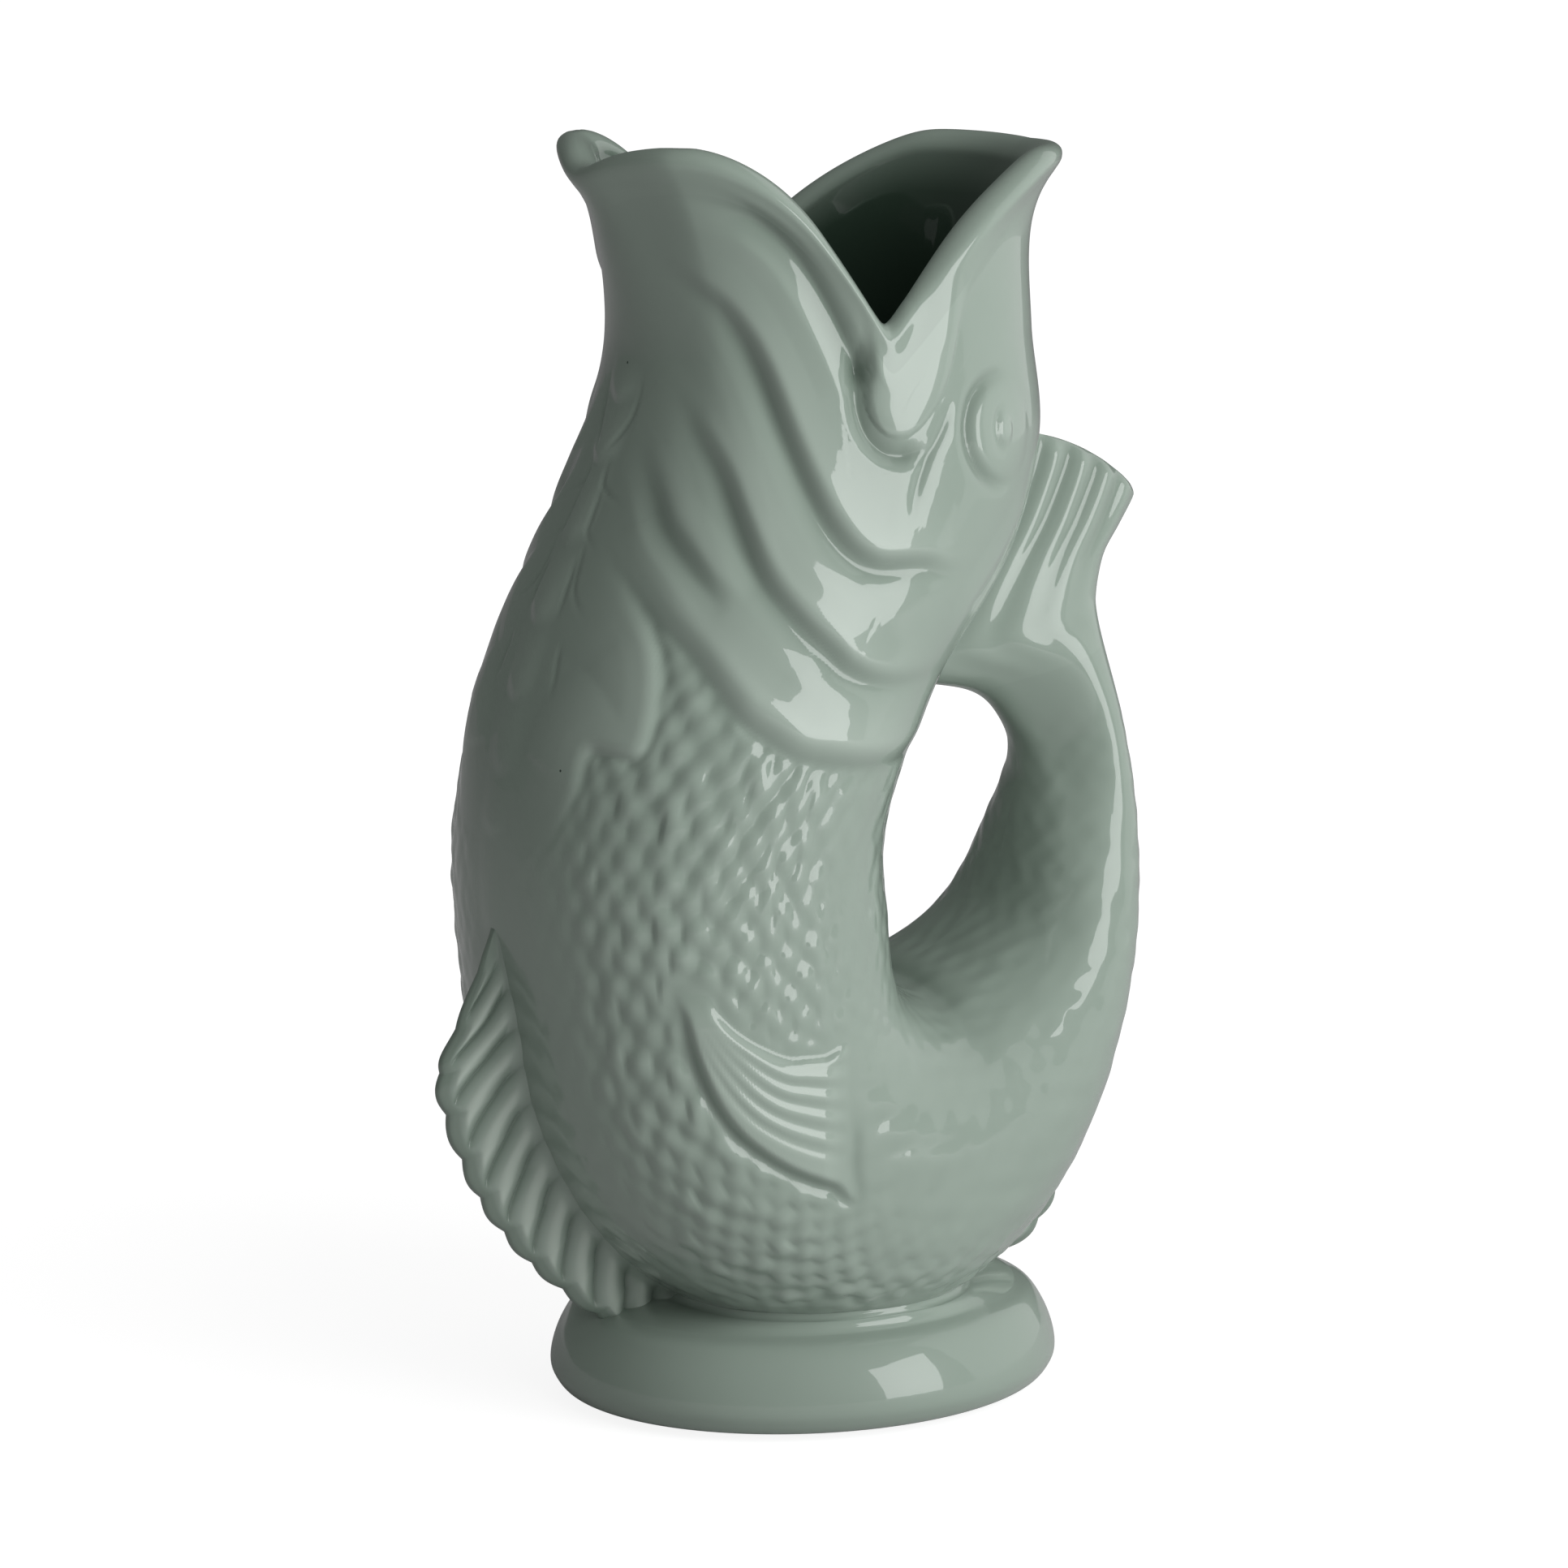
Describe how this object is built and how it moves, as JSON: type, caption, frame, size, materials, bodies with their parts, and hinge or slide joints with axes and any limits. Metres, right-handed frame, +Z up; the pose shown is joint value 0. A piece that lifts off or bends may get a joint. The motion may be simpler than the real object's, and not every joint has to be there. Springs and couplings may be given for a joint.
{
  "type": "gurgle jug",
  "caption": "Glazed earthenware fish-shaped jug standing on its belly, mouth open as the spout, hollow tail curled up as the handle, oval foot.",
  "frame": {"origin": "on the surface that the jug stands on, at the middle of its length and width", "axes": "+Z up, the spout faces -X and the handle +X, and the XZ plane is the plane of symmetry"},
  "size_m": [0.1506, 0.0944, 0.2386],
  "materials": {
    "glaze": "glossy grey-green glaze",
    "bare_clay": "unglazed cream earthenware"
  },
  "bodies": {
    "root": {"head_shell": "glaze", "lip_bead": "glaze", "shoulder_shell": "glaze", "belly_shell": "glaze", "base_shell": "glaze", "tail_tube": "glaze", "tail_fin": "glaze", "foot_ring": "glaze", "foot_rim": "bare_clay", "breast_plates": "glaze", "belly_fin": "glaze", "vent_fin": "glaze", "jaw_fold_left": "glaze", "jaw_fold_right": "glaze", "cheek_fold_left": "glaze", "cheek_fold_right": "glaze", "gill_cover_left": "glaze", "gill_cover_right": "glaze", "breast_fin_left": "glaze", "breast_fin_right": "glaze", "rear_fin_left": "glaze", "rear_fin_right": "glaze", "eye_left": "glaze", "eye_right": "glaze"}
  },
  "joints": []
}
